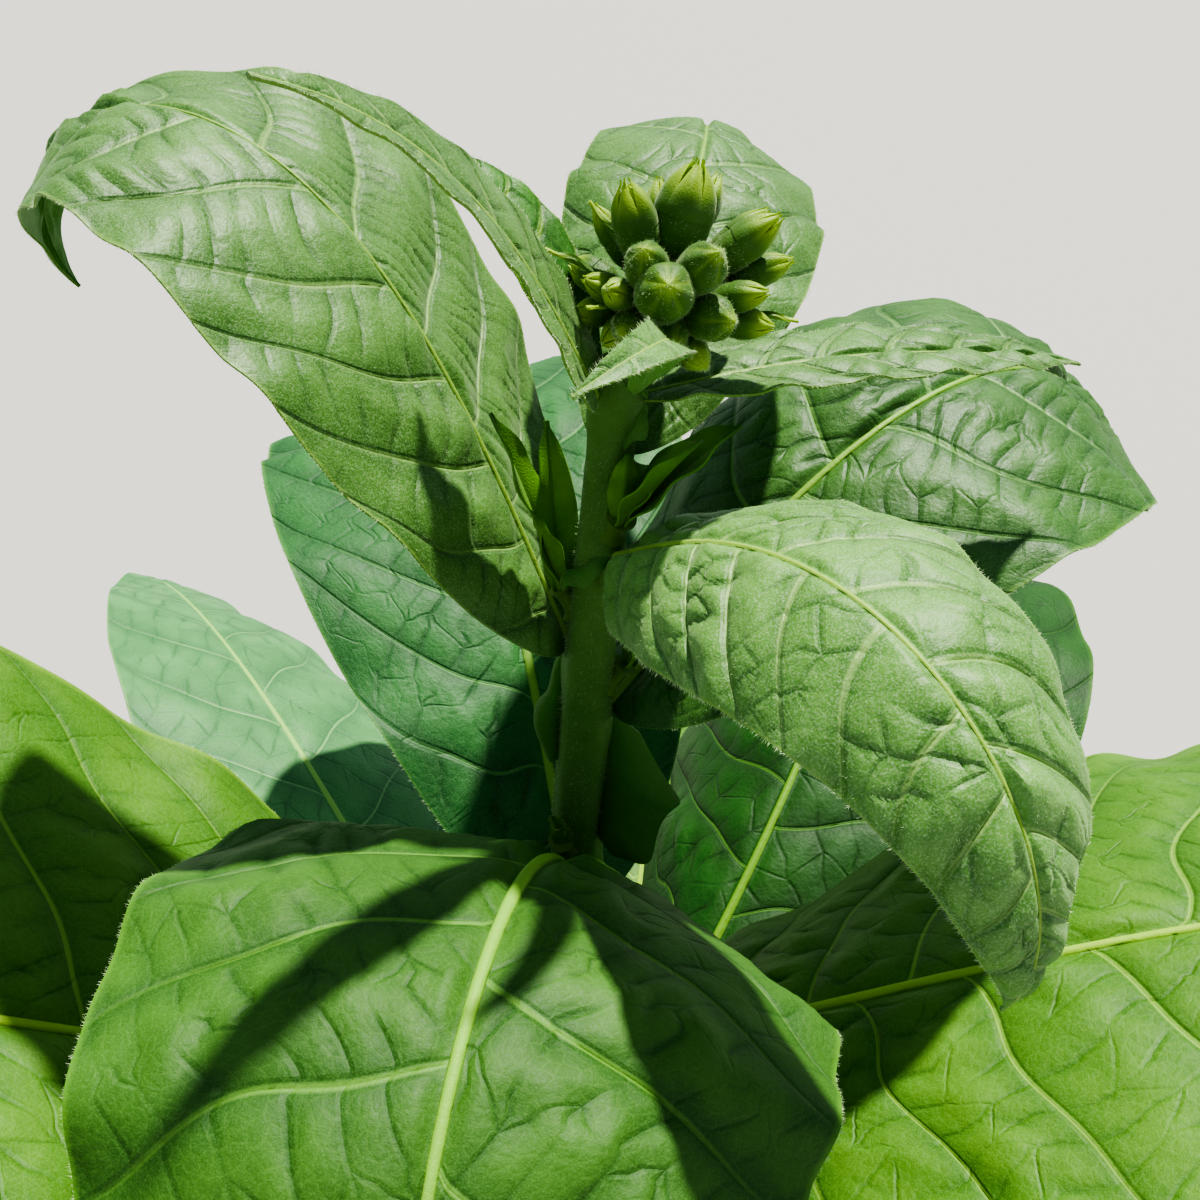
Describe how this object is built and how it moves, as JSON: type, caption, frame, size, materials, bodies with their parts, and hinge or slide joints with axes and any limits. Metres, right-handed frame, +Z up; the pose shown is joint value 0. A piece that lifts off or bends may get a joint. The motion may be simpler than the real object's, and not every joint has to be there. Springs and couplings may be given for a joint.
{
  "type": "tobacco plant",
  "caption": "Tall tobacco plant in green bud, with an upright stem, large leaves set on it in a spiral, side shoots and a close head of flower buds.",
  "frame": {"origin": "middle of the flat cut under the stem, at ground level", "axes": "+Z up the stem, +X to the right and +Y to the back as the picture looks at the plant"},
  "size_m": [0.8426, 0.8538, 1.322],
  "materials": {
    "stem": "satin green skin with short fuzz",
    "leaf": "soft puckered green blade",
    "young_leaf": "velvety lighter green blade",
    "buds": "ribbed green calyx with lime tips",
    "shoots": "tender lime green leaflets"
  },
  "bodies": {
    "root": {"stem": "stem", "leaf_back": "leaf", "leaf_back_top": "young_leaf", "leaf_bract_back_left": "young_leaf", "leaf_bract_front": "young_leaf", "leaf_front": "leaf", "leaf_front_low": "leaf", "leaf_left_back": "young_leaf", "leaf_left_back_low": "leaf", "leaf_left_folded": "young_leaf", "leaf_left_low": "leaf", "leaf_low_01": "leaf", "leaf_low_02": "leaf", "leaf_low_03": "leaf", "leaf_low_04": "leaf", "leaf_low_05": "leaf", "leaf_low_06": "leaf", "leaf_low_07": "leaf", "leaf_low_08": "leaf", "leaf_low_09": "leaf", "leaf_low_10": "leaf", "leaf_low_11": "leaf", "leaf_low_12": "leaf", "leaf_low_13": "leaf", "leaf_low_14": "leaf", "leaf_low_15": "leaf", "leaf_low_16": "leaf", "leaf_low_17": "leaf", "leaf_right_back": "leaf", "leaf_right_back_low": "leaf", "leaf_right_front": "young_leaf", "leaf_right_low": "leaf", "leaf_right_slender": "young_leaf", "flower_buds": "buds", "shoot_front": "shoots", "shoot_left_back": "shoots", "shoot_right_back": "shoots", "shoot_right_front": "shoots"}
  },
  "joints": []
}
